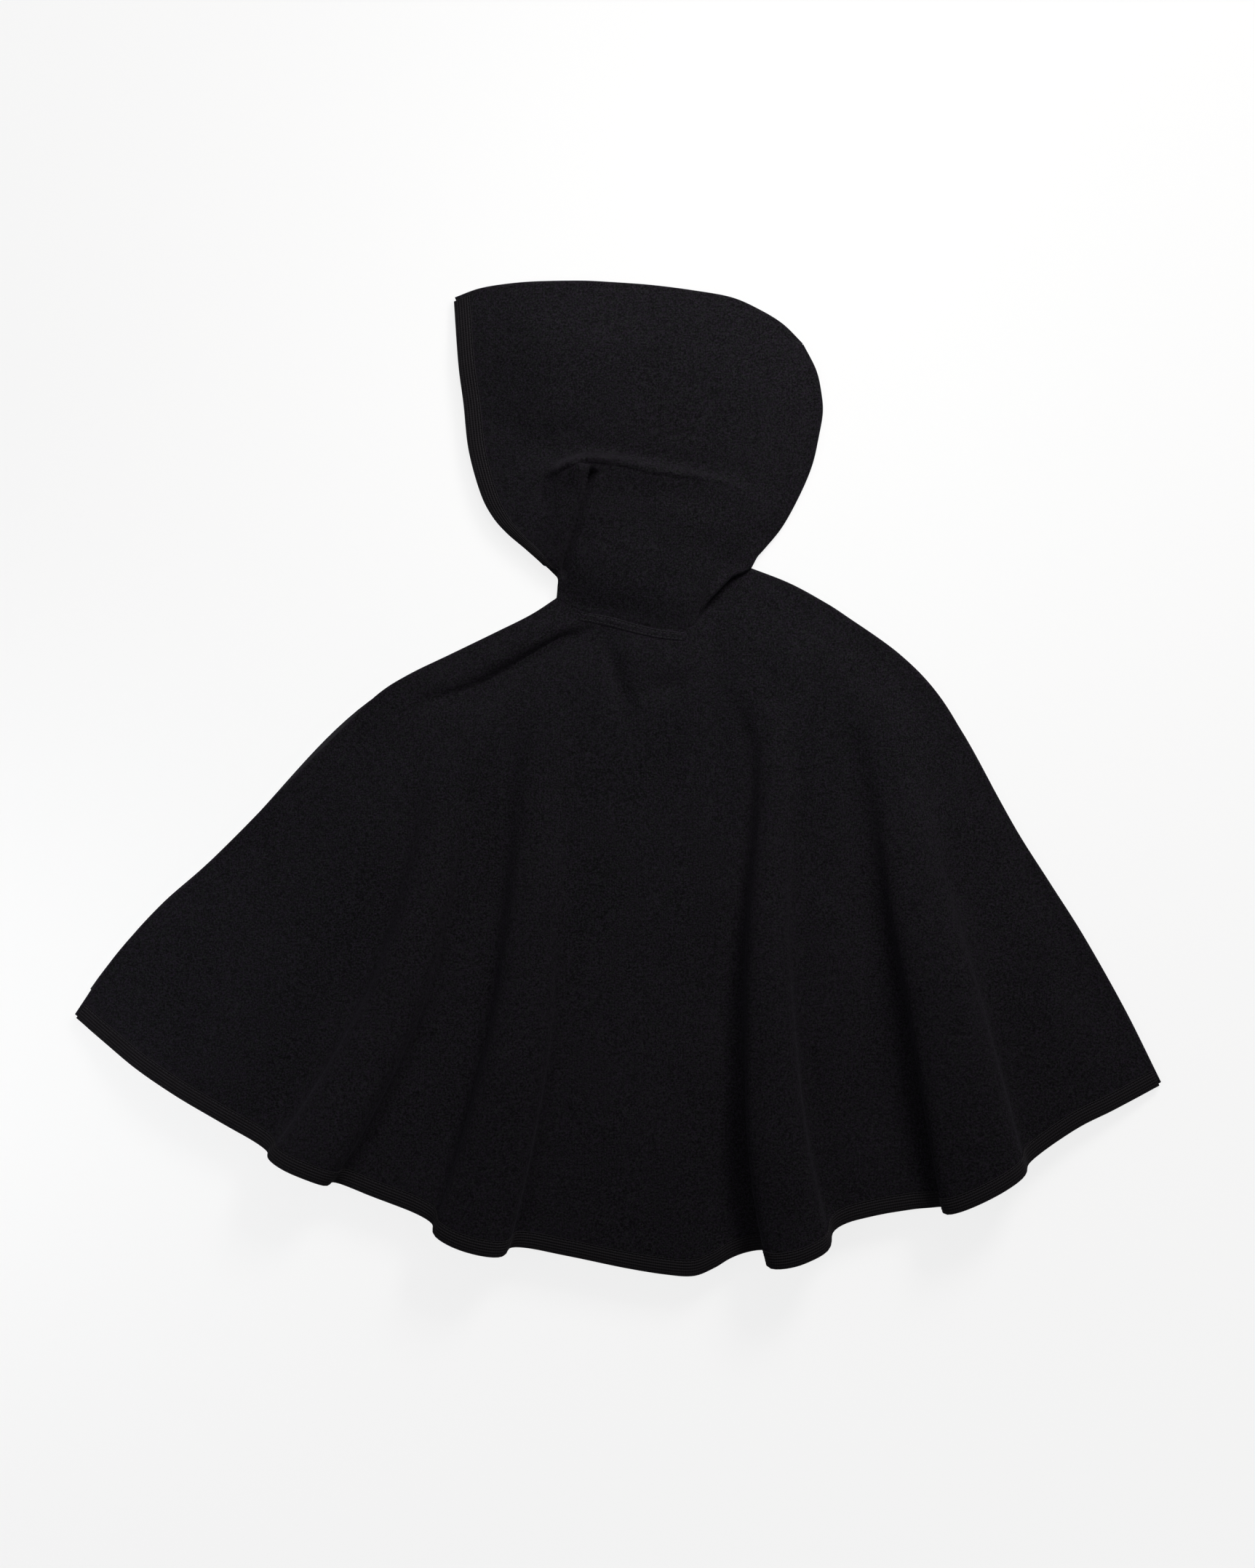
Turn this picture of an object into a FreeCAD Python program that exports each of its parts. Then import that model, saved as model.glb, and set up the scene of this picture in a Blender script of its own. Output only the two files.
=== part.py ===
import FreeCAD, Part
import math
import os

os.makedirs("parts", exist_ok=True)
V = FreeCAD.Vector

# A child's hooded cape of brushed wool knit, laid flat with its back up.
# Millimetres. X runs from the wearer's left hem corner to the right one, Y runs from hem to crown,
# and Z = 0 is the surface that the two fronts lie on.

# ---- cloth and trims ----
CLOTH = 2.6                 # thickness of the brushed knit
TAPE = 0.7                  # thickness of one leg of the folded rib tape
EASE = 0.3                  # slack between a tape and the cloth that it holds
LAYER_GAP = 0.4             # air between two layers where they are sewn together
BINDING_WIDTH = 11.0        # how far the rib tape reaches in from an edge
SEAM_WIDTH = 7.0            # width of an overlocked seam
SEAM_THREAD = 0.3           # thickness of the overlocking

# ---- heights ----
BODY_RISE = 17.0            # how far the back stands above the fronts at mid-width
NECK_RISE = 12.5            # how far the back neck stands above the front neck
HOOD_RISE = 17.0            # how far the upper hood half stands above the lower one
HOOD_MOUTH_RISE = 8.0       # the same at the face opening
NECK_ROLL_RISE = 9.0        # the roll of cloth that stands up across the hood's neck

# ---- front opening ----
OVERLAP = 20.0              # each front passes the centre line by this much
OVERLAP_RAMP = 20.0         # length over which the right front climbs on to the left one
SNAP_RADIUS = 7.0
SNAP_DISC = 1.3             # thickness of each half of the press stud
SNAP_NUB_RADIUS = 2.0
SNAP_DROP = 24.0            # press stud's centre below the neck edge
OVERLAP_GAP = 2.0 * SNAP_DISC + 0.2

# ---- neck line, which is also the line that the hood folds back about ----
NECK_LEFT = (-47.0, 138.0)
NECK_RIGHT = (56.0, 113.0)
HOOD_START = 9.0            # the moving part of the hood starts this far past the neck line
FRONT_NECK_DROP = 2.0       # the fronts stop this far short of it

# ---- outlines, each from the neck or shoulder outwards ----
SHOULDER_LEFT = [NECK_LEFT, (-95.0, 112.0), (-142.0, 89.0), (-186.0, 64.0)]
SIDE_LEFT = [(-186.0, 64.0), (-294.0, -44.0), (-360.0, -106.0), (-400.0, -152.0), (-420.0, -182.0)]
SHOULDER_RIGHT = [(101.0, 161.0), (133.0, 149.0), (177.0, 124.0), (219.0, 94.0), (250.0, 61.0)]
SIDE_RIGHT = [(250.0, 61.0), (309.0, -41.0), (361.0, -123.0), (396.0, -186.0), (420.0, -234.0)]
HEM = [(-420.0, -182.0), (-330.0, -252.0), (-235.0, -308.0), (-120.0, -353.0), (30.0, -381.0),
       (150.0, -366.0), (250.0, -328.0), (340.0, -282.0), (420.0, -234.0)]
HOOD_MOUTH = [(-72.0, 178.0), (-101.0, 214.0), (-115.0, 268.0), (-124.6, 369.0)]
CROWN = [(-124.6, 369.0), (-84.0, 379.5), (-29.0, 382.5), (59.0, 376.0), (111.0, 361.0), (144.0, 335.0)]
HOOD_BACK = [(101.0, 164.0), (142.0, 220.0), (158.0, 285.0), (144.0, 335.0)]
FRONT_HEM_LIFT = 7.0        # the fronts' hem lies this far inside the back's

# ---- folds of the back: place along the hem, half width, height, and where each one begins ----
FOLDS = [(0.235, 0.055, 12.0, 0.35), (0.375, 0.05, 13.0, 0.30),
         (0.665, 0.045, 15.0, 0.25), (0.835, 0.055, 14.0, 0.30)]

ACROSS = 61                 # points across a surface
ALONG = 21                  # points from neck to hem, or neck to crown

neck_run = V(NECK_RIGHT[0] - NECK_LEFT[0], NECK_RIGHT[1] - NECK_LEFT[1], 0).normalize()
neck_out = V(-neck_run.y, neck_run.x, 0)


def neck_point(along, past):
    """Point a fraction along the neck line, and so many millimetres past it towards the crown."""
    span = V(NECK_RIGHT[0] - NECK_LEFT[0], NECK_RIGHT[1] - NECK_LEFT[1], 0)
    return V(NECK_LEFT[0], NECK_LEFT[1], 0) + span * along + neck_out * past


def ease(value):
    """Rises quickly from 0 and levels off at 1."""
    value = min(max(value, 0.0), 1.0)
    return value * (2.0 - value)


def smooth(value):
    """Rises from 0 to 1 with no slope at either end."""
    value = min(max(value, 0.0), 1.0)
    return value * value * (3.0 - 2.0 * value)


def plan(points):
    """Plan points as vectors at height 0."""
    return [V(p[0], p[1], 0) for p in points]


def curve(points):
    """Smooth edge through plan points."""
    spline = Part.BSplineCurve()
    spline.interpolate(plan(points))
    return spline.toShape()


def spaced(points, count):
    """Evenly spaced points along the smooth curve through plan points."""
    return curve(points).discretize(Number=count)


def patch(near, far, start, end):
    """Plan grid filled in between four sides: opposite sides averaged, less the corners' share."""
    last = len(near) - 1
    deep = len(start) - 1
    grid = []
    for i in range(last + 1):
        s = i / last
        column = []
        for j in range(deep + 1):
            t = j / deep
            between = near[i] * (1 - t) + far[i] * t + start[j] * (1 - s) + end[j] * s
            corners = (near[0] * (1 - s) + near[last] * s) * (1 - t)
            corners = corners + (far[0] * (1 - s) + far[last] * s) * t
            column.append(between - corners)
        grid.append(column)
    return grid


def raised(grid, height):
    """The plan grid with each point lifted to height(s, t)."""
    last = len(grid) - 1
    deep = len(grid[0]) - 1
    return [[V(p.x, p.y, height(i / last, j / deep)) for j, p in enumerate(column)]
            for i, column in enumerate(grid)]


def smooth_surface(grid):
    """The smooth surface through a grid of points."""
    surface = Part.BSplineSurface()
    surface.interpolate(grid)
    return surface


def sheet(surface):
    """A cloth sheet: the surface given the cloth's thickness upwards."""
    return surface.toShape().extrude(V(0, 0, CLOTH))


def at(surface, s, t):
    """Point of a surface a fraction s across it and t from its neck to its far edge."""
    low_u, high_u, low_v, high_v = surface.bounds()
    return surface.value(low_u + (high_u - low_u) * s, low_v + (high_v - low_v) * t)


def inwards(surface, s, t, turn_s, turn_t):
    """Point of the cloth one binding's width in from its edge, straight down the grid's line."""
    edge = at(surface, s, t)
    near = at(surface, s + turn_s * 0.01, t + turn_t * 0.01)
    share = 0.01 * BINDING_WIDTH / (near - edge).Length
    return at(surface, s + turn_s * share, t + turn_t * share)


def plate(edges, thickness=CLOTH, base=0.0):
    """A flat sheet with the outline that the edges make."""
    wire = Part.Wire(Part.__sortEdges__(edges))
    solid = Part.Face(wire).extrude(V(0, 0, thickness))
    solid.translate(V(0, 0, base))
    return solid


def ribbon(sections):
    """A solid strip carried through a list of closed sections, one straight stretch between two."""
    wires = [Part.makePolygon(section + [section[0]]) for section in sections]
    return Part.makeLoft(wires, True, True)


def lift(point, height):
    """The point moved up by height."""
    return V(point.x, point.y, point.z + height)


def reach(edge, inner, distance):
    """Point at a distance in from an edge point, towards an inner point of the cloth."""
    return edge + (inner - edge).normalize() * distance


def binding(edges, lips):
    """Rib tape folded round a cloth edge: a C section whose two legs reach over the cloth to the lips."""
    sections = []
    for edge, lip in zip(edges, lips):
        web = reach(edge, lip, -EASE)
        back = reach(edge, lip, -EASE - TAPE)
        over = CLOTH + EASE
        sections.append([lift(back, -EASE - TAPE), lift(back, over + TAPE), lift(lip, over + TAPE),
                         lift(lip, over), lift(web, over), lift(web, -EASE),
                         lift(lip, -EASE), lift(lip, -EASE - TAPE)])
    return ribbon(sections)


def flush_binding(edges, inners):
    """The same tape on a cloth that lies on the floor: its lower leg is let into the cloth."""
    sections = []
    for edge, inner in zip(edges, inners):
        web = reach(edge, inner, -EASE)
        back = reach(edge, inner, -EASE - TAPE)
        lip = reach(edge, inner, BINDING_WIDTH)
        over = CLOTH + EASE
        sections.append([back, lift(back, over + TAPE), lift(lip, over + TAPE), lift(lip, over),
                         lift(web, over), lift(web, TAPE), lift(lip, TAPE), lip])
    return ribbon(sections)


def leg_room(edges, inners):
    """The space in a cloth's underside that takes a flush binding's lower leg."""
    sections = []
    for edge, inner in zip(edges, inners):
        out = reach(edge, inner, -3.0)
        lip = reach(edge, inner, BINDING_WIDTH + EASE)
        sections.append([lift(out, -1.0), lift(out, TAPE + EASE), lift(lip, TAPE + EASE), lift(lip, -1.0)])
    return ribbon(sections)


def overlocking(edges, inners):
    """The flat chain of thread between two layers that are sewn together along an edge."""
    sections = []
    for edge, inner in zip(edges, inners):
        out = lift(reach(edge, inner, 0.5), CLOTH + 0.05)
        lip = lift(reach(edge, inner, SEAM_WIDTH), CLOTH + 0.05)
        sections.append([out, lift(out, SEAM_THREAD), lift(lip, SEAM_THREAD), lip])
    return ribbon(sections)


def save(name, shape):
    """Writes one sub-part."""
    shape.exportStep("parts/%s.step" % name)
    print(name, "valid" if shape.isValid() else "NOT VALID", round(shape.Volume / 1000.0, 1), "cm3")


# ---- back ----
def back_height(s, t):
    """Closed at the sides and shoulders, open at the neck and hem, with folds that grow to the hem."""
    sides = ease(s / 0.2) * ease((1.0 - s) / 0.2)
    neck = smooth((s - 0.28) / 0.1) * smooth((0.68 - s) / 0.1)
    down = ease(t / 0.3)
    body = BODY_RISE * down * sides + NECK_RISE * neck * (1.0 - down)
    folds = 0.0
    for place, half_width, height, begin in FOLDS:
        across = 1.0 - smooth(abs(s - place) / half_width)
        folds = folds + height * across * smooth((t - begin) / (1.0 - begin))
    return CLOTH + LAYER_GAP + body + folds


def back_neck_line():
    """From the left neck corner along the neck seam and up under the hood to the right shoulder."""
    seam = [neck_point(0.02, -1.0), neck_point(0.5, -0.5), neck_point(1.0, -0.5)]
    return [(p.x, p.y) for p in seam] + [(66.0, 126.0), (86.0, 145.0)]


def back_grid():
    """The back's outer corners are the two shoulders and the two ends of the hem."""
    top = SHOULDER_LEFT[::-1][:-1] + back_neck_line() + SHOULDER_RIGHT
    near = spaced(top, ACROSS)
    far = spaced(HEM, ACROSS)
    return raised(patch(near, far, spaced(SIDE_LEFT, ALONG), spaced(SIDE_RIGHT, ALONG)), back_height)


back = smooth_surface(back_grid())
hem_stations = [0.012 + 0.976 * k / 200.0 for k in range(201)]
save("back_panel", sheet(back))
save("hem_binding_back", binding([at(back, s, 1.0) for s in hem_stations],
                                 [inwards(back, s, 1.0, 0.0, -1.0) for s in hem_stations]))

# ---- fronts ----
CENTRE_LEFT = OVERLAP       # the left front's free edge
CENTRE_RIGHT = -OVERLAP     # the right front's free edge


def hem_height_at(x):
    """Y of the fronts' hem at a given X."""
    cutter = Part.makeLine(V(x, -500, 0), V(x, 0, 0))
    return curve(HEM).distToShape(cutter)[1][0][0].y + FRONT_HEM_LIFT


def front_neck_at(x):
    """Y of the fronts' neck edge at a given X."""
    along = (x - NECK_LEFT[0]) / (NECK_RIGHT[0] - NECK_LEFT[0])
    return neck_point(along, -FRONT_NECK_DROP).y


def front_hem(start_x, corner, inside):
    """Hem of one front from its free edge to the side corner."""
    points = [(start_x, hem_height_at(start_x))]
    points = points + [(x, y + FRONT_HEM_LIFT) for x, y in inside]
    return points + [corner]


corner_left = (SIDE_LEFT[-1][0] + 5.0, SIDE_LEFT[-1][1] + 3.0)
corner_right = (SIDE_RIGHT[-1][0] - 5.0, SIDE_RIGHT[-1][1] + 4.0)
hem_left = front_hem(CENTRE_LEFT, corner_left, [HEM[3], HEM[2], HEM[1]])
hem_right = front_hem(CENTRE_RIGHT, corner_right, [(60.0, -382.0), HEM[5], HEM[6], HEM[7]])


def line(a, b):
    """Straight edge between two plan points."""
    return Part.makeLine(V(a[0], a[1], 0), V(b[0], b[1], 0))


def front_outline(centre, hem, side, shoulder, neck_corner):
    """Closed outline of one front: free edge, hem, side, shoulder and half of the neck."""
    top = (centre, front_neck_at(centre))
    return [line(top, hem[0]), curve(hem), curve([hem[-1]] + side[::-1][1:]), curve(shoulder[::-1]),
            line(shoulder[0], neck_corner), line(neck_corner, top)]


shoulder_left = [(NECK_LEFT[0], NECK_LEFT[1] - FRONT_NECK_DROP)] + SHOULDER_LEFT[1:]
neck_corner_left = (NECK_LEFT[0] + 2.0, NECK_LEFT[1] - FRONT_NECK_DROP - 0.5)
neck_corner_right = (NECK_RIGHT[0] + 4.0, NECK_RIGHT[1] + 2.0)

left_outline = front_outline(CENTRE_LEFT, hem_left, SIDE_LEFT, shoulder_left, neck_corner_left)
right_outline = front_outline(CENTRE_RIGHT, hem_right, SIDE_RIGHT, SHOULDER_RIGHT, neck_corner_right)


RAMP_FOOT = OVERLAP + 2.0 * EASE + TAPE + OVERLAP_RAMP
RAMP_STEPS = 24


def climb(x):
    """Height of the right front: on the floor, and on the left front where the two overlap."""
    return (CLOTH + OVERLAP_GAP) * smooth((RAMP_FOOT - x) / OVERLAP_RAMP)


def climbing_slab():
    """A slab of cloth that follows the right front's climb, wider than the cape."""
    ramp = [RAMP_FOOT - OVERLAP_RAMP * (1.0 - k / RAMP_STEPS) for k in range(RAMP_STEPS + 1)]
    under = [V(x, -420.0, climb(x)) for x in [-60.0] + ramp + [460.0]]
    over = [lift(p, CLOTH) for p in reversed(under)]
    return Part.Face(Part.makePolygon(under + over + [under[0]])).extrude(V(0, 620.0, 0))


def edge_strip(centre, hem, inward):
    """Stations down a front's free edge, short of the neck and of the hem's own binding."""
    count = 9
    top = front_neck_at(centre) - 1.0
    low = hem[0][1] + BINDING_WIDTH + 2.0
    edges = [V(centre, top + (low - top) * k / (count - 1), 0) for k in range(count)]
    return edges, [p + V(inward, 0, 0) for p in edges]


def hem_strip(hem, count=31):
    """Stations along a front's hem, with inner points straight above each."""
    edges = spaced(hem, count)
    inners = []
    for k, p in enumerate(edges):
        ahead = edges[min(k + 1, count - 1)] - edges[max(k - 1, 0)]
        normal = V(-ahead.y, ahead.x, 0).normalize()
        inners.append(p + normal * (1.0 if normal.y > 0 else -1.0))
    return edges[:-1], inners[:-1]


hem_left_strip = hem_strip(hem_left)
free_left_strip = edge_strip(CENTRE_LEFT, hem_left, -1.0)
left_front = plate(left_outline)
left_front = left_front.cut(leg_room(*hem_left_strip)).cut(leg_room(*free_left_strip))
save("front_panel_left", left_front)
save("hem_binding_left", flush_binding(*hem_left_strip))
save("front_binding_left", flush_binding(*free_left_strip))

right_hem_edges, right_hem_inners = hem_strip(hem_right, 101)
right_hem_edges = [V(p.x, p.y, climb(p.x)) for p in right_hem_edges]
right_hem_inners = [V(p.x, p.y, climb(p.x)) for p in right_hem_inners]
right_hem_strip = (right_hem_edges, right_hem_inners)
right_edge, right_edge_inners = edge_strip(CENTRE_RIGHT, hem_right, 1.0)
free_right_strip = ([V(p.x, p.y, climb(p.x)) for p in right_edge],
                    [V(p.x, p.y, climb(p.x)) for p in right_edge_inners])
right_prism = plate(right_outline, 30.0, -5.0)
right_front = climbing_slab().common(right_prism)
right_front = right_front.cut(leg_room(*right_hem_strip)).cut(leg_room(*free_right_strip))
save("front_panel_right", right_front)
save("hem_binding_right", flush_binding(*right_hem_strip))
save("front_binding_right", flush_binding(*free_right_strip))

# ---- side seams ----
LEFT_SEAM = spaced(SHOULDER_LEFT[1:] + SIDE_LEFT[1:], 41)
RIGHT_SEAM = spaced(SHOULDER_RIGHT[1:] + SIDE_RIGHT[1:], 41)


def seam_strip(points, turn):
    """Stations along a seam with inner points square to it."""
    inners = []
    for k, p in enumerate(points):
        ahead = points[min(k + 1, len(points) - 1)] - points[max(k - 1, 0)]
        inners.append(p + V(-ahead.y * turn, ahead.x * turn, 0).normalize())
    return points[1:-2], inners[1:-2]


save("side_seam_left", overlocking(*seam_strip(LEFT_SEAM, 1.0)))
save("side_seam_right", overlocking(*seam_strip(RIGHT_SEAM, -1.0)))

# ---- neck: inner tape and twin rows of topstitching ----
TAPE_HALF = 5.0             # half of the woven tape's width
NECK_START = 0.385          # the neck seam's ends, as fractions across the back
NECK_END = 0.545
COLUMN_LENGTH = 480.0       # about the back's length from neck to hem


def neck_tape():
    """Woven tape that covers the seam inside the back neck: half on the back, half past its edge."""
    sections = []
    for k in range(21):
        s = NECK_START + (NECK_END - NECK_START) * k / 20.0
        low = lift(at(back, s, TAPE_HALF / COLUMN_LENGTH), -EASE - TAPE)
        high = lift(at(back, s, 0.0) + neck_out * TAPE_HALF, -EASE - TAPE)
        sections.append([low, high, lift(high, TAPE), lift(low, TAPE)])
    return ribbon(sections)


STITCH = 2.5
STITCH_STEP = 3.3
STITCH_RADIUS = 0.25
STITCH_ROWS = [5.0 / COLUMN_LENGTH, 10.5 / COLUMN_LENGTH]


def topstitching():
    """Twin rows of stitches just below the neck seam, lying on the back's outer face."""
    stitches = []
    for row in STITCH_ROWS:
        s = NECK_START
        while s < NECK_END:
            start = at(back, s, row)
            scale = (at(back, s + 0.001, row) - start).Length / 0.001
            path = at(back, s + STITCH / scale, row) - start
            rise = CLOTH + STITCH_RADIUS + 0.15
            stitches.append(Part.makeCylinder(STITCH_RADIUS, path.Length, lift(start, rise), path))
            s = s + STITCH_STEP / scale
    return Part.makeCompound(stitches)


save("neck_tape", neck_tape())
save("neck_topstitching", topstitching())

# ---- press stud that holds the fronts together ----
snap_y = front_neck_at(0.0) - SNAP_DROP
SNAP_CLEAR = 0.05


def snap_socket():
    """Lower half, sewn to the left front: a disc with a hole for the nub."""
    disc = Part.makeCylinder(SNAP_RADIUS, SNAP_DISC, V(0, snap_y, CLOTH + SNAP_CLEAR))
    disc = disc.makeFillet(0.4, [disc.Edges[0]])
    return disc.cut(Part.makeCylinder(SNAP_NUB_RADIUS + SNAP_CLEAR, 5.0, V(0, snap_y, CLOTH)))


def snap_stud():
    """Upper half, sewn to the right front: a disc with a nub that clicks into the socket."""
    base = CLOTH + OVERLAP_GAP - SNAP_CLEAR - SNAP_DISC
    disc = Part.makeCylinder(SNAP_RADIUS, SNAP_DISC, V(0, snap_y, base))
    nub = Part.makeCylinder(SNAP_NUB_RADIUS, SNAP_DISC - 0.1, V(0, snap_y, base - SNAP_DISC + 0.1))
    return disc.fuse(nub)


save("snap_socket", snap_socket())
save("snap_stud", snap_stud())


# ---- hood ----
def hood_height(s, t):
    """Sewn down at the crown and back, open at the face and neck, with a roll across the neck."""
    closed = ease((1.0 - s) / 0.3) * ease((1.0 - t) / 0.25)
    inside = HOOD_MOUTH_RISE + (HOOD_RISE - HOOD_MOUTH_RISE) * ease(s / 0.35)
    neck = NECK_RISE * (1.0 - smooth(t / 0.2)) * smooth((1.0 - s) / 0.25)
    dome = max(inside * closed * smooth(t / 0.2), 0.0)
    roll = NECK_ROLL_RISE * smooth(1.0 - abs(t - 0.38) / 0.3) * smooth(1.0 - abs(s - 0.45) / 0.45)
    return CLOTH + LAYER_GAP + dome + neck + roll


def hood_neck_line():
    """The moving hood's lower edge: along the neck, then up to where the hood hangs over the shoulder."""
    near = [neck_point(along, HOOD_START) for along in (0.0, 0.5, 0.95)]
    return [(p.x, p.y) for p in near] + [(74.0, 140.0), (101.0, 164.0)]


hood_neck = hood_neck_line()
mouth = [hood_neck[0]] + HOOD_MOUTH
hood_plan = patch(spaced(hood_neck, ACROSS), spaced(CROWN, ACROSS),
                  spaced(mouth, ALONG), spaced(HOOD_BACK, ALONG))
hood_upper = smooth_surface(raised(hood_plan, hood_height))
mouth_stations = [0.03 + 0.94 * k / 60.0 for k in range(61)]
save("hood_panel_left", sheet(hood_upper))
save("hood_binding_left", binding([at(hood_upper, 0.0, t) for t in mouth_stations],
                                  [inwards(hood_upper, 0.0, t, 1.0, 0.0) for t in mouth_stations]))

mouth_strip = (hood_plan[0][1:-1], hood_plan[3][1:-1])
hood_outline = [curve(hood_neck), curve(HOOD_BACK), curve(CROWN), curve(mouth)]
hood_lower = plate(hood_outline).cut(leg_room(*mouth_strip))
save("hood_panel_right", hood_lower)
save("hood_binding_right", flush_binding(*mouth_strip))

crown_and_back = spaced(CROWN[1:] + HOOD_BACK[::-1][1:], 61)
save("hood_seam", overlocking(*seam_strip(crown_and_back, -1.0)))
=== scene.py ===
"""A child's hooded cape in brushed wool knit, laid flat on its front and seen from the back."""
import bpy
import numpy as np
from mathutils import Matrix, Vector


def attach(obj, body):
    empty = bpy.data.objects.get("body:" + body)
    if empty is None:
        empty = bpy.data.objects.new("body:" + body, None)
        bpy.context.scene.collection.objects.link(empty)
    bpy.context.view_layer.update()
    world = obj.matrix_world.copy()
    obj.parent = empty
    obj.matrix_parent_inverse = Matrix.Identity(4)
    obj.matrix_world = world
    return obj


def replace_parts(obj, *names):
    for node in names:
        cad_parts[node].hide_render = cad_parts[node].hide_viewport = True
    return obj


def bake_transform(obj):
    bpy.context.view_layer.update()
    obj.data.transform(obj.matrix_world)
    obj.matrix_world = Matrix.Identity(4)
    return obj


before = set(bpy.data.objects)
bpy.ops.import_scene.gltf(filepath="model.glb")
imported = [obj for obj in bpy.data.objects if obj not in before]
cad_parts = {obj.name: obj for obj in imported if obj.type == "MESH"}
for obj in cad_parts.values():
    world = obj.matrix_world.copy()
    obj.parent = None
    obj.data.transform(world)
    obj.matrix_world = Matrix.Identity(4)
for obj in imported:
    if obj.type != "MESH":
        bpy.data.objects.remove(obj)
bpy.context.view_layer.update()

# Lengths are in millimetres until a mesh is made.
MM = 0.001
CLOTH = 2.6                # thickness of the brushed knit
HALF = CLOTH / 2.0
TAPE = 0.7                 # thickness of the rib tape
TAPE_WIDTH = 11.0          # how far the folded tape reaches in from an edge
STITCH_IN = 9.6            # how far in from an edge a tape's stitch row runs
RIB_STEP = 2.2             # from one rib of the tape to the next
LOW = 1.3                  # middle of a layer that lies on the table
TOP = 4.3                  # middle of a layer that lies on another one
TURN = 1.5                 # radius of the turned side edges
TURN_ROWS = 7              # mesh rows round a turned edge
TUCK = 2.5                 # how far a turned edge reaches back in below
SPREAD_GAP = 1.6           # how much further in the fronts end under the turned sides
FULL_TURN = 2.0 * np.pi


# ---------------------------------------------------------------- lines and surfaces

def soft_step(value):
    """3v^2 - 2v^3, with v held between 0 and 1."""
    v = np.clip(value, 0.0, 1.0)
    return v * v * (3.0 - 2.0 * v)


def quarter(value):
    """The sine of a quarter turn times v, with v held between 0 and 1."""
    return np.sin(0.5 * np.pi * np.clip(value, 0.0, 1.0))


def bell(value, width):
    """exp(-(value / width)^2)."""
    return np.exp(-(value / width) ** 2)


def unit(vectors):
    """Each vector divided by its length."""
    return vectors / np.maximum(np.linalg.norm(vectors, axis=-1, keepdims=True), 1e-9)


def bent_line(*points):
    """A Catmull-Rom line through the points: the cubic of four neighbours on every span."""
    p = np.array(points, float)
    q = np.vstack([2.0 * p[0] - p[1], p, 2.0 * p[-1] - p[-2]])
    u = np.linspace(0.0, len(p) - 1.0, 48 * (len(p) - 1) + 1)
    i = np.minimum(u.astype(int), len(p) - 2)
    f = (u - i)[:, None]
    a, b, c, d = q[i], q[i + 1], q[i + 2], q[i + 3]
    bend = (c - a) * f + (2.0 * a - 5.0 * b + 4.0 * c - d) * f ** 2
    return b + 0.5 * (bend + (3.0 * b - a - 3.0 * c + d) * f ** 3)


def distances(line):
    """The length from the start of a line to each of its points."""
    steps = np.linalg.norm(np.diff(line, axis=0), axis=1)
    return np.concatenate([[0.0], np.cumsum(steps)])


def read(values, places, wanted):
    """Columns of values, known at places, read at the wanted places by straight interpolation."""
    return np.stack([np.interp(wanted, places, column) for column in values.T], axis=-1)


def along(line, fractions):
    """The points at the given fractions of a line's length."""
    length = distances(line)
    return read(line, length, np.asarray(fractions) * length[-1])


def left_of(line):
    """The unit vectors in plan a quarter turn to the left of a line, smoothed over its corners."""
    run = unit(np.gradient(line[:, :2], axis=0))
    near = np.stack([-run[:, 1], run[:, 0]], axis=-1)
    padded = np.pad(near, ((3, 3), (0, 0)), mode="edge")
    total = sum(padded[k:k + len(near)] for k in range(7))
    return unit(total)


def moved_in(line, amount):
    """A line moved to its left in plan by an amount."""
    return line[:, :2] + left_of(line) * np.asarray(amount, float).reshape(-1, 1)


def cloth_patch(near, far, left, right, s, t):
    """A Coons surface: near and far mixed by t, plus left and right mixed by s, less the corners' mix."""
    a, b = s[None, :, None], t[:, None, None]
    rows = (1.0 - b) * near[None] + b * far[None]
    columns = (1.0 - a) * left[:, None] + a * right[:, None]
    top = (1.0 - a) * near[0] + a * near[-1]
    end = (1.0 - a) * far[0] + a * far[-1]
    return rows + columns - (1.0 - b) * top - b * end


def beside(line, plan):
    """For points in plan: distance to a line, side (positive on its left) and place along it, 0 to 1."""
    start, run = line[:-1], np.diff(line, axis=0)
    gap = plan[..., None, :] - start
    share = np.clip(np.sum(gap * run, -1) / np.maximum(np.sum(run * run, -1), 1e-9), 0.0, 1.0)
    away = np.linalg.norm(gap - share[..., None] * run, axis=-1)
    k = np.argmin(away, -1)[..., None]
    turn = run[:, 0] * gap[..., 1] - run[:, 1] * gap[..., 0]
    side = np.sign(np.take_along_axis(turn, k, -1)[..., 0])
    place = (k[..., 0] + np.take_along_axis(share, k, -1)[..., 0]) / len(run)
    return np.take_along_axis(away, k, -1)[..., 0], side, place


def facing(grid):
    """The unit normals of a grid that is numbered downwards and to the right: step down x step across."""
    across = np.gradient(grid, axis=1)
    down = np.gradient(grid, axis=0)
    return unit(np.cross(down, across))


def dents(plan, places):
    """The sum of depth x exp(-(x / rx)^2 - (y / ry)^2), x and y from each centre along its turned axes."""
    total = np.zeros(plan.shape[:-1])
    for (centre_x, centre_y), (rx, ry), turn, depth in places:
        across = plan[..., 0] - centre_x
        up = plan[..., 1] - centre_y
        x = across * np.cos(turn) + up * np.sin(turn)
        y = up * np.cos(turn) - across * np.sin(turn)
        total = total + depth * np.exp(-(x / rx) ** 2 - (y / ry) ** 2)
    return total


def slow_wave(plan, first, second, third, fourth):
    """sin(x / first + y / second) x sin(y / third - x / fourth), the cloth's slight unevenness."""
    x, y = plan[..., 0], plan[..., 1]
    return np.sin(x / first + y / second) * np.sin(y / third - x / fourth)


# ---------------------------------------------------------------- meshes

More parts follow.
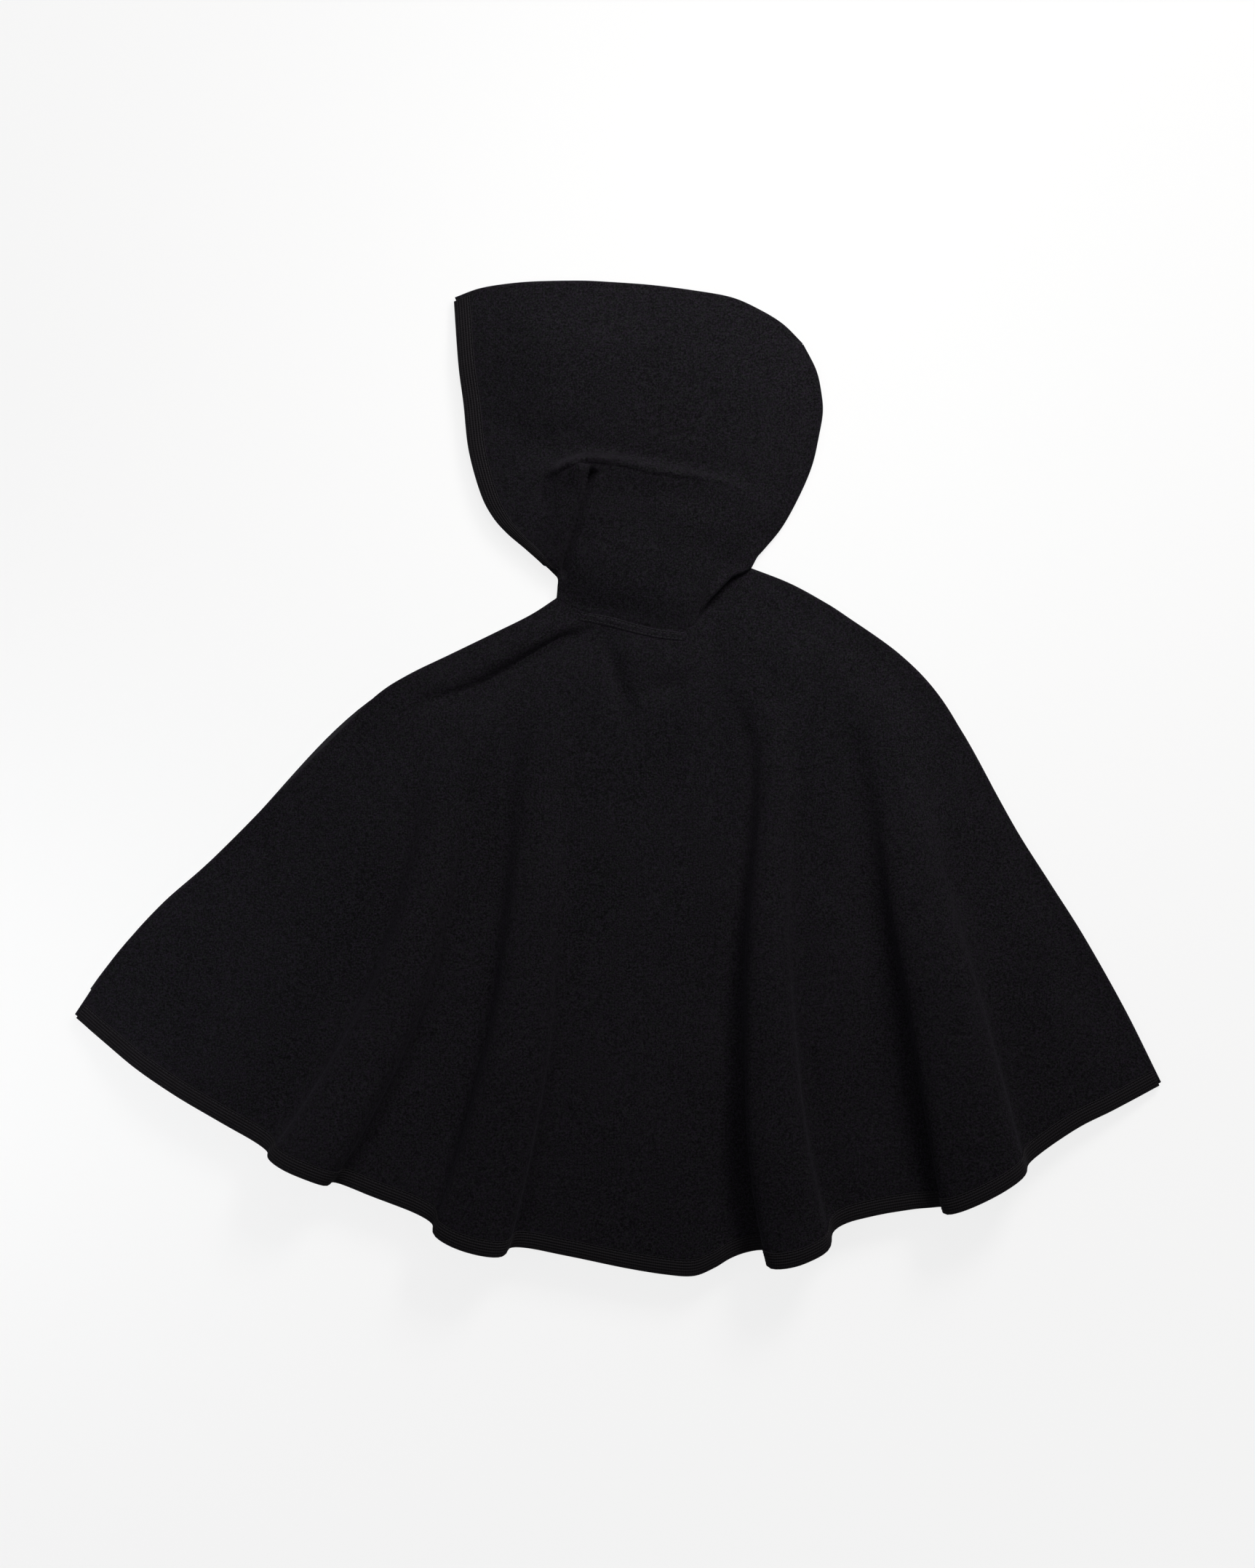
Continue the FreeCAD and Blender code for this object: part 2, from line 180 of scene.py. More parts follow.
def numbered(grid):
    """A table of vertex numbers for a grid of points, row by row."""
    rows, columns = grid.shape[:2]
    return np.arange(rows * columns).reshape(rows, columns)


def squares(index):
    """The four-sided faces between neighbouring entries of a table of vertex numbers."""
    a, b = index[:-1, :-1], index[1:, :-1]
    c, d = index[1:, 1:], index[:-1, 1:]
    return np.stack([a, b, c, d], axis=-1).reshape(-1, 4)


def piece(name, points, faces, finish, pattern, body, thick):
    """A mesh object from points in millimetres, its faces and each point's place on the flat cloth.
    A thickness is added half to each side; the body is cape or hood, to which it is attached, or bend, for
    which its transform is baked in and it is left unattached."""
    mesh = bpy.data.meshes.new(name)
    mesh.from_pydata((points * MM).tolist(), [], faces.tolist())
    mesh.polygons.foreach_set("use_smooth", np.ones(len(mesh.polygons), bool))
    if pattern is not None:
        corners = np.zeros(len(mesh.loops), np.int32)
        mesh.loops.foreach_get("vertex_index", corners)
        layer = mesh.uv_layers.new(name="cloth")
        layer.data.foreach_set("uv", (pattern[corners] * MM).astype(np.float32).ravel())
    mesh.materials.append(finish)
    mesh.update()
    made = bpy.data.objects.new(name, mesh)
    bpy.context.collection.objects.link(made)
    if thick:
        wall = made.modifiers.new("thickness", "SOLIDIFY")
        wall.thickness = thick * MM
        wall.offset = 0.0
        wall.use_even_offset = False
        with bpy.context.temp_override(object=made, active_object=made, selected_objects=[made]):
            bpy.ops.object.modifier_apply(modifier=wall.name)
    if body == "bend":
        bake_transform(made)
    else:
        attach(made, body)
    return made


def turned_edge(rim, inward, radius, low):
    """Rows round an edge for a from 0 to pi: out by radius x sin a, at height low + (z - low)(1 + cos a) / 2,
    and a last row tucked in under the cloth."""
    angle = (np.pi * np.arange(1, TURN_ROWS + 1) / TURN_ROWS)[:, None]
    plan = rim[None, :, :2] - inward[None] * (radius * np.sin(angle))[..., None]
    height = low + (rim[:, 2] - low) * (1.0 + np.cos(angle)) / 2.0
    rows = np.concatenate([plan, height[..., None]], axis=-1)
    last = np.concatenate([rim[:, :2] + inward * TUCK, rows[-1, :, 2:]], axis=-1)
    return np.concatenate([rows, last[None]])


def cloth(name, grid, pattern, rims, finish, body, rim_low, rim_radius):
    """A sheet from a grid of points, with its edges turned under along rims of vertex numbers."""
    index = numbered(grid)
    points, texture, faces = [grid.reshape(-1, 3)], [pattern.reshape(-1, 2)], [squares(index)]
    used = index.size
    for rim, low, radius in zip(rims, rim_low, rim_radius):
        edge = points[0][rim]
        inward = left_of(edge)
        strip = turned_edge(edge, inward, radius, low)
        numbers = used + numbered(strip)
        used += numbers.size
        reach = 0.7 * np.arange(1, len(strip) + 1)[:, None, None]
        points.append(strip.reshape(-1, 3))
        texture.append((texture[0][rim][None] - inward[None] * reach).reshape(-1, 2))
        faces.append(squares(np.vstack([rim, numbers])))
    flat = np.vstack(texture)
    return piece(name, np.vstack(points), np.vstack(faces), finish, flat, body, CLOTH)


def narrow_strip(name, grid, finish):
    """A thin sheet on the cape from a grid of points, its pattern taken in plan."""
    plan = grid[..., :2].reshape(-1, 2)
    return piece(name, grid.reshape(-1, 3), squares(numbered(grid)), finish, plan, "cape", 0.6)


def rib_tape(name, edge, up, inward, body, stands_for):
    """A tape folded over an edge: out over the top, round a half circle and back below. Its height is
    1.85 + 0.2 cos(2 pi a / rib step), a being the way in, less a soft edge and the stitches' groove."""
    top = np.linspace(TAPE_WIDTH, 0.4, 40)
    nose = np.linspace(0.0, np.pi, 9)[1:-1]
    lift = 1.85 - 0.25 * bell(top, 2.2) - 0.45 * bell(top - STITCH_IN, 0.7)
    rib = 0.20 * np.cos(FULL_TURN * top / RIB_STEP)
    a = np.concatenate([top, -1.55 * np.sin(nose), top[::-1]])
    n = np.concatenate([lift + rib, 1.6 * np.cos(nose), -(lift + rib)[::-1]])
    points = edge[:, None] + a[None, :, None] * inward[:, None] + n[None, :, None] * up[:, None]
    section = np.concatenate([[0.0], np.cumsum(np.hypot(np.diff(a), np.diff(n)))])
    run = distances(edge)
    pattern = np.stack(np.broadcast_arrays(run[:, None], section[None, :]), axis=-1)
    flat = pattern.reshape(-1, 2)
    made = piece(name, points.reshape(-1, 3), squares(numbered(points)), RIB, flat, body, TAPE)
    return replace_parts(made, stands_for)


STITCH_STEP = 3.0
STITCH_LENGTH = 2.35
STITCH_RADIUS = 0.27


def stitches(name, line, up, body):
    """Short threads along a line: six-sided tubes of four rings whose ends sink into the cloth."""
    run = distances(line)
    centre = np.arange(STITCH_STEP, run[-1] - STITCH_STEP, STITCH_STEP)
    ring = np.array([-0.5, -0.28, 0.28, 0.5]) * STITCH_LENGTH
    sink = np.array([-0.42, 0.08, 0.08, -0.42])
    girth = np.array([0.55, 1.0, 1.0, 0.55]) * STITCH_RADIUS
    place = (centre[:, None] + ring[None]).ravel()
    middle = read(line, run, place).reshape(len(centre), 4, 1, 3)
    normal = unit(read(up, run, place)).reshape(len(centre), 4, 1, 3)
    course = unit(read(unit(np.gradient(line, axis=0)), run, place)).reshape(len(centre), 4, 1, 3)
    across = np.cross(normal, course)
    angle = (FULL_TURN * np.arange(6) / 6.0)[None, None, :, None]
    round_it = across * np.cos(angle) + normal * np.sin(angle)
    points = middle + normal * sink[None, :, None, None] + round_it * girth[None, :, None, None]
    first = (24 * np.arange(len(centre)))[:, None, None]
    a = 6 * np.arange(3)[None, :, None] + np.arange(6)[None, None, :]
    b = 6 * np.arange(3)[None, :, None] + ((np.arange(6) + 1) % 6)[None, None, :]
    walls = np.stack([first + a, first + b, first + b + 6, first + a + 6], axis=-1).reshape(-1, 4)
    caps = np.array([[3, 2, 1, 0], [5, 4, 3, 0], [18, 19, 20, 21], [18, 21, 22, 23]])
    ends = (first + caps[None]).reshape(-1, 4)
    return piece(name, points.reshape(-1, 3), np.vstack([walls, ends]), THREAD, None, body, 0.0)


def bound_edge(where, end, edge, inner, up, body, node, height, under=False):
    """The tape over an edge and its stitch row, on the upper or the under side. The inward way runs from the
    edge to the inner points, and the normals are made square to it: up - (up . in) in."""
    inward = unit(inner - edge)
    normal = unit(up - np.sum(up * inward, -1, keepdims=True) * inward)
    tape = rib_tape(where + "_tape" + end, edge, normal, inward, body, node)
    side = -normal if under else normal
    line = edge + STITCH_IN * inward + height * side
    return [tape, stitches(where + "_stitching" + end, line, side, body)]


# ---------------------------------------------------------------- finishes

class Shade:
    """A number or colour that varies over a surface; arithmetic on it adds Math nodes."""

    def __init__(self, tree, socket):
        self.tree = tree
        self.socket = socket

    def math(self, operation, *others):
        """One Math node of this and the others."""
        node = self.tree.nodes.new("ShaderNodeMath")
        node.operation = operation
        for socket, value in zip(node.inputs, (self,) + others):
            feed(self.tree, socket, value)
        return Shade(self.tree, node.outputs[0])

    def __add__(self, other):
        return self.math("ADD", other)

    def __sub__(self, other):
        return self.math("SUBTRACT", other)

    def __rsub__(self, other):
        return self.math("MULTIPLY", -1.0) + other

    def __mul__(self, other):
        return self.math("MULTIPLY", other)

    __radd__ = __add__
    __rmul__ = __mul__


def feed(tree, socket, value):
    """Links a varying value to a socket, or sets a plain one on it."""
    if isinstance(value, Shade):
        tree.links.new(value.socket, socket)
    else:
        socket.default_value = value


class Finish:
    """One material and the nodes that make it."""

    def __init__(self, name):
        self.material = bpy.data.materials.new(name)
        self.material.use_nodes = True
        self.tree = self.material.node_tree
        self.tree.nodes.clear()

    def node(self, kind, settings, sockets, output=0):
        """A node of a kind: its settings first, then its sockets' values or links, then one output."""
        node = self.tree.nodes.new("ShaderNode" + kind)
        for key, value in settings.items():
            if key == "stops":
                node.color_ramp.elements[0].position = value[0]
                node.color_ramp.elements[1].position = value[1]
            else:
                setattr(node, key, value)
        for key, value in sockets.items():
            feed(self.tree, node.inputs[key], value)
        return Shade(self.tree, node.outputs[output]) if len(node.outputs) else None

    def cloth_place(self, across, down):
        """The cloth's own position, scaled so that one unit is one knit column or row."""
        place = self.node("UVMap", {"uv_map": "cloth"}, {})
        return self.node("VectorMath", {"operation": "MULTIPLY"}, {0: place, 1: (across, down, 1.0)})

    def split(self, vector):
        """The x and y numbers of a vector."""
        return (self.node("SeparateXYZ", {}, {0: vector}, 0), self.node("SeparateXYZ", {}, {0: vector}, 1))

    def blotch(self, scale, detail, rough):
        """Noise on object position, as a number near 0.5."""
        place = self.node("TexCoord", {}, {}, 3)
        sockets = {"Vector": place, "Scale": scale, "Detail": detail, "Roughness": rough}
        return self.node("TexNoise", {}, sockets)

    def ramp(self, value, start, end):
        """0 up to the start, 1 from the end on, straight in between."""
        return self.node("ValToRGB", {"stops": (start, end)}, {0: value})

    def tint(self, amount, low, high):
        """A colour between low and high by amount, where each of the two may itself vary."""
        ends = [end if isinstance(end, Shade) else end + (1.0,) for end in (low, high)]
        return self.node("Mix", {"data_type": "RGBA"}, {0: amount, 6: ends[0], 7: ends[1]}, 2)

    def surface(self, colour, bump, distance, roughness, fixed):
        """The shader: colour, roughness, a height in millimetres through a Bump node, all else fixed."""
        normal = self.node("Bump", {}, {"Strength": 1.0, "Distance": distance * MM, "Height": bump})
        sockets = {"Base Color": colour, "Roughness": roughness, "Normal": normal}
        shader = self.node("BsdfPrincipled", {}, {**sockets, **fixed})
        self.node("OutputMaterial", {}, {"Surface": shader})
        return self.material


KNIT_COLUMN = 1.9
KNIT_ROW = 1.45


def wool():
    """Brushed knit. With a = |fract x - 0.5| a column is sin(pi a) and a row is
    (1 + sin 2 pi (y + 1.1 a)) / 2, which slants it into V stitches. Noise adds the fibres, tufts, specks
    and a few pale stray hairs, and mixes a cool grey with a violet one."""
    f = Finish("charcoal_wool_knit")
    x, y = f.split(f.cloth_place(1.0 / (KNIT_COLUMN * MM), 1.0 / (KNIT_ROW * MM)))
    side = (x.math("FRACT") - 0.5).math("ABSOLUTE")
    column = (side * np.pi).math("SINE")
    row = ((y + side * 1.1) * FULL_TURN).math("SINE") * 0.5 + 0.5
    fibre = f.blotch(1500.0, 4.0, 0.65)
    tuft = f.blotch(420.0, 3.0, 0.6)
    broad = f.blotch(14.0, 2.0, 0.5)
    speck = f.ramp(f.blotch(700.0, 5.0, 0.75), 0.42, 0.60)
    hue = f.ramp(f.blotch(430.0, 4.0, 0.7), 0.42, 0.58)
    stray = f.ramp(fibre, 0.66, 0.80)
    # The knit columns and rows are painted a little darker where they sink, as the bump does: painted shade.
    # The specks, broad tone, hue and stray hairs are the wool's own colour.
    shade = speck * 0.86 + column * 0.04 + row * 0.03 + tuft * 0.30 + broad * 0.22 - 0.20
    pale = f.tint(hue, (0.0092, 0.0098, 0.0102), (0.0108, 0.0084, 0.0130))
    base = f.tint(shade, (0.0008, 0.0007, 0.0009), pale)
    colour = f.tint(stray * 0.5, base, (0.060, 0.056, 0.070))
    height = column * 0.10 + row * 0.08 + fibre * 1.3 + tuft * 1.0
    nap = {"Sheen Weight": 0.020, "Sheen Roughness": 0.40, "Sheen Tint": (0.68, 0.62, 0.84, 1.0)}
    return f.surface(colour, height, 0.40, 0.95, {"Specular IOR Level": 0.04, **nap})


def rib():
    """Rib tape: cross threads (1 + sin 2 pi x) / 2 along it, ribs (1 + cos 2 pi y) / 2 over its section,
    and a fine noise fleck."""
    f = Finish("charcoal_rib_tape")
    x, y = f.split(f.cloth_place(1.0 / (1.7 * MM), 1.0 / (RIB_STEP * MM)))
    cross = (x * FULL_TURN).math("SINE") * 0.5 + 0.5
    groove = (y * FULL_TURN).math("COSINE") * 0.5 + 0.5
    fleck = f.blotch(1300.0, 4.0, 0.6)
    # The grooves between the ribs are painted darker than the crests: painted shade, following the same rib
    # profile as the bump.
    shade = groove * 0.55 + cross * 0.25 + fleck * 0.4 - 0.1
    base = f.tint(shade, (0.0012, 0.0011, 0.0014), (0.0102, 0.0092, 0.0106))
    height = groove * 0.5 + cross * 0.35 + fleck * 0.5
    nap = {"Sheen Weight": 0.026, "Sheen Roughness": 0.35, "Sheen Tint": (0.7, 0.66, 0.78, 1.0)}
    return f.surface(base, height, 0.30, 0.95, {"Specular IOR Level": 0.05, **nap})


def twisted_thread():
    """Sewing thread: fine noise for its plies, on a slightly paler charcoal."""
    f = Finish("charcoal_thread")
    ply = f.blotch(2600.0, 2.0, 0.5)
    colour = f.tint(ply, (0.0030, 0.0027, 0.0036), (0.0130, 0.0118, 0.0148))
    return f.surface(colour, ply, 0.08, 0.6, {"Specular IOR Level": 0.12, "Sheen Weight": 0.02})


def twill():
    """Neck tape: slanted ridges (1 + sin(2 pi (x + y) / 0.9)) / 2 on object position."""
    f = Finish("charcoal_twill_tape")
    x, y = f.split(f.node("TexCoord", {}, {}, 3))
    slant = ((x + y) * (FULL_TURN / (0.9 * MM))).math("SINE") * 0.5 + 0.5
    # The furrows between the slanted ridges are painted darker: painted shade, following the ridge profile
    # that feeds the bump.
    colour = f.tint(slant, (0.006, 0.0055, 0.0068), (0.018, 0.017, 0.020))
    return f.surface(colour, slant, 0.12, 0.8, {"Specular IOR Level": 0.25})


def stud_metal():
    """Press stud: dark metal, rubbed a little brighter in patches."""
    f = Finish("dark_stud_metal")
    rub = f.blotch(300.0, 3.0, 0.5)
    colour = f.tint(rub, (0.035, 0.034, 0.036), (0.16, 0.155, 0.15))
    return f.surface(colour, rub, 0.02, rub * 0.25 + 0.25, {"Metallic": 1.0})


WOOL = wool()
RIB = rib()
THREAD = twisted_thread()
TWILL = twill()
STUD = stud_metal()


# ---------------------------------------------------------------- outlines

NECK = [(-47, 139), (-29, 130.5), (-6, 126), (15, 120), (33, 116), (52, 114)]
UNDER_HOOD = [(62, 122), (78, 139), (101, 163)]
LEFT_EDGE = bent_line((-47, 139), (-67, 126), (-95, 112), (-128, 96), (-162, 79.5), (-186, 64), (-215, 36),
                      (-255, -4), (-294, -44), (-328, -77), (-360, -106), (-391, -141), (-419.5, -183))
RIGHT_EDGE = bent_line((101, 163), (133, 150.5), (159, 136.5), (177, 125), (219, 95), (250, 62), (279, 13),
                       (309, -41), (335, -82), (361, -123), (393, -180), (420.5, -235.5))
HEM = bent_line((-419.5, -183), (-395, -203), (-370, -223), (-340, -243), (-313, -259), (-285, -275),
                (-255, -291), (-232, -301), (-200, -316), (-172, -327), (-143, -338), (-115, -348),
                (-79, -357.5), (-50, -364), (-28, -368.5), (5, -375.5), (35, -380.5), (58, -382), (74, -376),
                (88, -368), (108, -361), (135, -353), (156, -346), (199, -335.5), (225, -331), (249, -326),
                (284, -310), (320, -290), (355, -268), (382, -255), (420.5, -235.5))
MOUTH = bent_line((-47, 139), (-46.3, 147), (-46.5, 155), (-55, 163.5), (-69, 176), (-84, 189), (-95, 202),
                  (-104, 220), (-113, 253), (-117, 289), (-121, 320), (-124.6, 368.5))
CROWN = bent_line((-124.6, 369.5), (-106, 376.5), (-85, 380.3), (-62, 382.4), (-29, 383.2), (-6, 382.4),
                  (27, 380.2), (60, 376.2), (89, 371), (111, 361.4), (128.5, 350.5), (144, 335))
HOOD_BACK = bent_line((101, 163), (115, 178), (128.5, 195), (142, 220), (151, 242), (156, 264), (159, 282),
                      (158, 297), (154, 315), (144, 335))


# ---------------------------------------------------------------- the back

BACK_ROWS = 128
BACK_COLUMNS = 322
NECK_SIDE = bent_line(*NECK)
CREASE_SIDE = bent_line(NECK[-1], *UNDER_HOOD)
BACK_TOP = np.vstack([NECK_SIDE, CREASE_SIDE[1:]])
UP_LEFT = np.array([-0.62, 0.78])      # in plan, square to the slit beside the neck


def slit_opening(s):
    """How far the slit beside the neck is open: 0 along the seam, up to 1 beside it, 0 at the corner."""
    return soft_step((s - 0.60) / 0.18) * (1.0 - soft_step((s - 0.90) / 0.10))


def off_the_back(x):
    """How far the hood's neck edge has left the back: 0 along the neck seam, then 1 to the right of it."""
    return soft_step((x - 52.0) / 24.0)


def back_plan(s, t):
    """The back's surface in plan, its side edges moved in by the turn's radius and half the cloth, its top
    carried 6.5 under the hood at the slit, its hem eased to the corners over 1/40 of the width."""
    inset = TURN + HALF
    left = moved_in(along(LEFT_EDGE, t), inset)
    right = moved_in(along(RIGHT_EDGE, t)[::-1], inset)[::-1]
    near = along(BACK_TOP, s) + 6.5 * slit_opening(s)[:, None] * UP_LEFT
    far = along(HEM, s)
    ramp = np.linspace(0.0, 1.0, len(s))[:, None]
    near = near + (1.0 - ramp) * (left[0] - near[0]) + ramp * (right[0] - near[-1])
    far = far + (1.0 - soft_step(ramp * 40.0)) * (left[-1] - far[0])
    far = far + soft_step(ramp * 40.0 - 39.0) * (right[-1] - far[-1])
    return cloth_patch(near, far, left, right, s, t)


# Each pleat: its left foot from the hem upwards, width at the hem, height, overhang left and right,
# hem drop, the share of the length at which it dies out, and the depth of the hollow on its left.
PLEATS = [
    ([(-268, -290), (-237, -241), (-202, -194), (-186, -156), (-167, -94), (-148, -32), (-144, -2)],
     50, 22.0, 0.90, 0.95, 7.0, 0.11, 1.6),
    ([(-142, -338), (-106, -248), (-94, -187), (-87, -118), (-79, -56), (-75, -2), (-60, 60)],
     56, 21.0, 0.95, 0.92, 13.0, 0.05, 1.8),
    ([(112, -361), (108, -310), (104, -248), (102, -171), (100, -94), (106, -17), (110, 30)],
     48, 25.0, 1.35, 0.84, 19.0, 0.10, 5.5),
    ([(247, -326), (237, -233), (221, -171), (210, -94), (195, -17), (191, 29)],
     68, 23.0, 1.20, 0.84, 10.0, 0.16, 4.8),
]


def pleat_shape(sigma, strength, ratio, lean_left, lean_right):
    """A pleat's section for sigma from -1 to 1: sideways q + k sin(2 pi q) / 2 pi, height (1 + cos pi q) / 2,
    with q spaced evenly along the section where the strength is 1. The lean k goes from its left value to
    its right one. Gives the sideways shift from sigma and the height, as shares of half width and height."""
    q = np.linspace(-1.0, 1.0, 801)
    lean = lean_left + (lean_right - lean_left) * soft_step((q + 0.6) / 1.2)
    x = q + lean * np.sin(FULL_TURN * q) / FULL_TURN
    z = (1.0 + np.cos(np.pi * q)) / 2.0
    run = np.concatenate([[0.0], np.cumsum(np.hypot(np.diff(x), ratio * np.diff(z)))])
    held = np.clip(sigma, -1.0, 1.0)
    even = np.interp(held, 2.0 * run / run[-1] - 1.0, q)
    q_here = held + strength * (even - held)
    lean_here = strength * np.interp(q_here, q, lean)
    side = q_here + lean_here * np.sin(FULL_TURN * q_here) / FULL_TURN
    return side - held, (1.0 + np.cos(np.pi * q_here)) / 2.0


def back_shape():
    """The back as a grid of points and their places on the flat cloth: the plan, a rise of
    15 sin(pi g / 240)^1.2 at a gap g from the turned sides, the pleats, then the relief. Each pleat follows
    a parabola through its foot line and fades in from where it dies out to 0.92 of the length."""
    s = np.linspace(0.0, 1.0, BACK_COLUMNS)
    t = np.concatenate([np.linspace(0.0, 0.972, BACK_ROWS - 3), [0.981, 0.990, 1.0]])
    plan = back_plan(s, t)
    speed = np.gradient(plan, s, axis=1)
    row_length = np.linalg.norm(np.diff(plan, axis=1), axis=-1).sum(axis=1)[:, None]
    edge_gap = np.minimum(s, 1.0 - s)[None, :] * row_length
    height = TOP + 15.0 * quarter(edge_gap / 120.0) ** 1.2
    column = unit(np.gradient(plan, t, axis=0))
    moved = plan.copy()
    for foot, width, tall, lean_left, lean_right, drop, dies, hollow in PLEATS:
        foot = np.array(foot, float)
        gap = np.linalg.norm(plan[None] - foot[:, None, None], axis=-1).reshape(len(foot), -1)
        nearest = np.argmin(gap, axis=1)
        foot_t = t[nearest // BACK_COLUMNS]
        foot_s = s[nearest % BACK_COLUMNS]
        half = width / row_length[-1, 0]
        bend = np.polyfit(foot_t, foot_s, 2)
        centre = np.polyval(bend, np.clip(t, foot_t.min(), 1.0)) + 0.5 * half
        sigma = (s[None, :] - centre[:, None]) / half
        strength = soft_step((t - dies) / (0.92 - dies))[:, None] ** 0.85
        side, top = pleat_shape(sigma, strength, tall / width, lean_left, lean_right)
        moved = moved + speed * (half * side)[..., None]
        height = height + tall * strength * top
        valley = bell(sigma + 0.86, 0.36) * soft_step((t - dies) / 0.45)[:, None]
        height = height - hollow * valley * (1.0 - 0.5 * soft_step((t - 0.88) / 0.12))[:, None]
        fall = drop * top * soft_step((t - 0.55) / 0.45)[:, None]
        moved = moved + column * fall[..., None]
    height = np.maximum(height + back_relief(plan), TOP)
    grid = straight_hem(np.concatenate([moved, height[..., None]], axis=-1))
    lengths = np.linalg.norm(np.diff(grid, axis=1), axis=-1)
    extra = np.cumsum(lengths - np.linalg.norm(np.diff(plan, axis=1), axis=-1), axis=1)
    extra = np.pad(extra, ((0, 0), (1, 0)))
    extra = extra - extra[:, BACK_COLUMNS // 2][:, None]
    pattern = np.stack([plan[..., 0] + extra, plan[..., 1]], axis=-1)
    return grid, pattern


def straight_hem(grid):
    """The last rows laid in a straight line from the fourth last row to the hem, so the tape lies true."""
    share = np.linspace(0.0, 1.0, 4)[:, None, None]
    last = grid[-4] + (grid[-1] - grid[-4]) * share
    return np.concatenate([grid[:-4], last])


BACK_DENTS = [((0, 76), (8, 30), 0.28, -4.6), ((38, 70), (17, 8), 0.3, -3.6), ((16, 98), (16, 12), 0.0, 1.8),
              ((76, 60), (14, 80), 0.05, -3.2), ((62, -150), (26, 150), 0.0, -2.2),
              ((-15, -220), (40, 140), 0.1, 1.6), ((160, 40), (12, 70), -0.25, 3.0),
              ((-205, -60), (30, 90), -0.6, 1.8), ((330, -150), (22, 90), 0.4, 2.0),
              ((190, -200), (16, 120), 0.0, -3.0), ((-170, -210), (18, 90), -0.3, -2.5),
              ((128, 96), (26, 22), 0.0, 2.0)]


def back_relief(plan):
    """Heights on the back: the crease under the left shoulder with its roll above, a dip along the slit,
    the dents and a slow wave, all easing to 0 at the sides."""
    crease = bent_line((14, 126), (-12, 120), (-38, 110), (-57, 100), (-85, 84), (-120, 67), (-165, 57))
    away, side, place = beside(crease[::8], plan)
    seam_gap, _, _ = beside(NECK_SIDE[::12], plan)
    strong = np.sin(np.pi * np.clip(place, 0.0, 1.0)) ** 0.7 * soft_step((seam_gap - 7.0) / 18.0)
    above = side < 0.0
    roll = 5.0 * bell(away - 14.0, 11.0) * above
    dip = -7.0 * np.where(above, bell(away, 4.5), bell(away, 13.0))
    total = strong * (roll + dip)
    slit = bent_line((56, 121), (70, 130), (84, 143), (98, 157), (108, 168))
    away, _, place = beside(slit[::8], plan)
    total = total - 5.0 * bell(away, 5.0) * np.sin(np.pi * place) ** 0.5
    total = total + dents(plan, BACK_DENTS) + 0.9 * slow_wave(plan, 37.0, 61.0, 43.0, 83.0)
    left, _, _ = beside(LEFT_EDGE[::24], plan)
    right, _, _ = beside(RIGHT_EDGE[::24], plan)
    return total * quarter(np.minimum(left, right) / 30.0)


back_grid, back_pattern = back_shape()
back_up = facing(back_grid)
back_place = numbered(back_grid)
back_rims = [back_place[:, 0], back_place[::-1, -1], back_place[0, ::-1]]
neck_low = np.maximum(back_grid[0, ::-1, 2] - 3.0, LOW + 1.2)
back = cloth("back_cloth", back_grid, back_pattern, back_rims, WOOL, "cape",
             [LOW, LOW, neck_low], [TURN, TURN, 3.0])
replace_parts(back, "back_panel")
hem_trim = bound_edge("back_hem", "", back_grid[-1], back_grid[-4], back_up[-3], "cape",
                      "hem_binding_back", 1.78)


# ---------------------------------------------------------------- neck seam

SEAM_LEFT = -30.0          # the neck seam's straight stretch, from here
SEAM_RIGHT = 54.0          # to here


def neck_run(down):
    """Points on the back's surface a distance down from the neck seam, with their normals."""
    length = np.linalg.norm(np.diff(back_grid[:, 60], axis=0), axis=-1).sum()
    row = down / length * (BACK_ROWS - 1)
    low = int(row)
    line = back_grid[low] + (back_grid[low + 1] - back_grid[low]) * (row - low)
    inside = (line[:, 0] > SEAM_LEFT) & (line[:, 0] < SEAM_RIGHT)
    return line[inside], back_up[low][inside]


def neck_rows(downs, ends, count):
    """Points and normals of several such rows, each read at a count of places from 0 to its end share."""
    lines, ups = [], []
    for down, end in zip(downs, ends):
        line, up = neck_run(down)
        places = np.linspace(0.0, end, count)
        lines.append(along(line, places))
        ups.append(unit(read(up, np.linspace(0.0, 1.0, len(up)), places)))
    return np.stack(lines), np.stack(ups)


def neck_welt():
    """A soft raised band on the back side of the neck seam. With w from -1 to 1 over its width its rise is
    0.2 + 1.05 (1 - w^2)^0.3, eased in from the left and rounded off at the right, less two stitch grooves."""
    w = np.linspace(-1.0, 1.0, 16)[:, None]
    ends = 0.95 + 0.05 * np.sqrt(1.0 - w[:, 0] ** 2)
    line, up = neck_rows(np.linspace(0.4, 9.4, 16), ends, 90)
    u = np.linspace(0.0, 1.0, 90)[None, :]
    end = np.sqrt(1.0 - np.clip((u - 0.955) / 0.045, 0.0, 1.0) ** 2)
    crown = (1.0 - w ** 2) ** 0.3
    rise = 0.20 + 1.05 * crown * end * soft_step(u / 0.25)
    groove = 0.45 * (bell(w - 0.62, 0.12) + bell(w + 0.42, 0.12))
    return line + up * (HALF + rise - groove - 0.35)[..., None]


def neck_topstitch(letter, down):
    """A row of stitches on the welt, a distance down from the neck seam."""
    line, up = neck_run(down)
    course = along(line + up * (HALF + 0.85), np.linspace(0.0, 0.985, 300))
    normal = read(up, np.linspace(0.0, 1.0, len(up)), np.linspace(0.0, 1.0, 300))
    return stitches("neck_topstitch_" + letter, course, normal, "cape")


welt = narrow_strip("neck_seam_welt", neck_welt(), WOOL)
seam_rows = [neck_topstitch("a", 2.6), neck_topstitch("b", 7.6)]
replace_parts(seam_rows[0], "neck_topstitching")


# ---------------------------------------------------------------- the hood

HOOD_ROWS = 214
HOOD_COLUMNS = 208


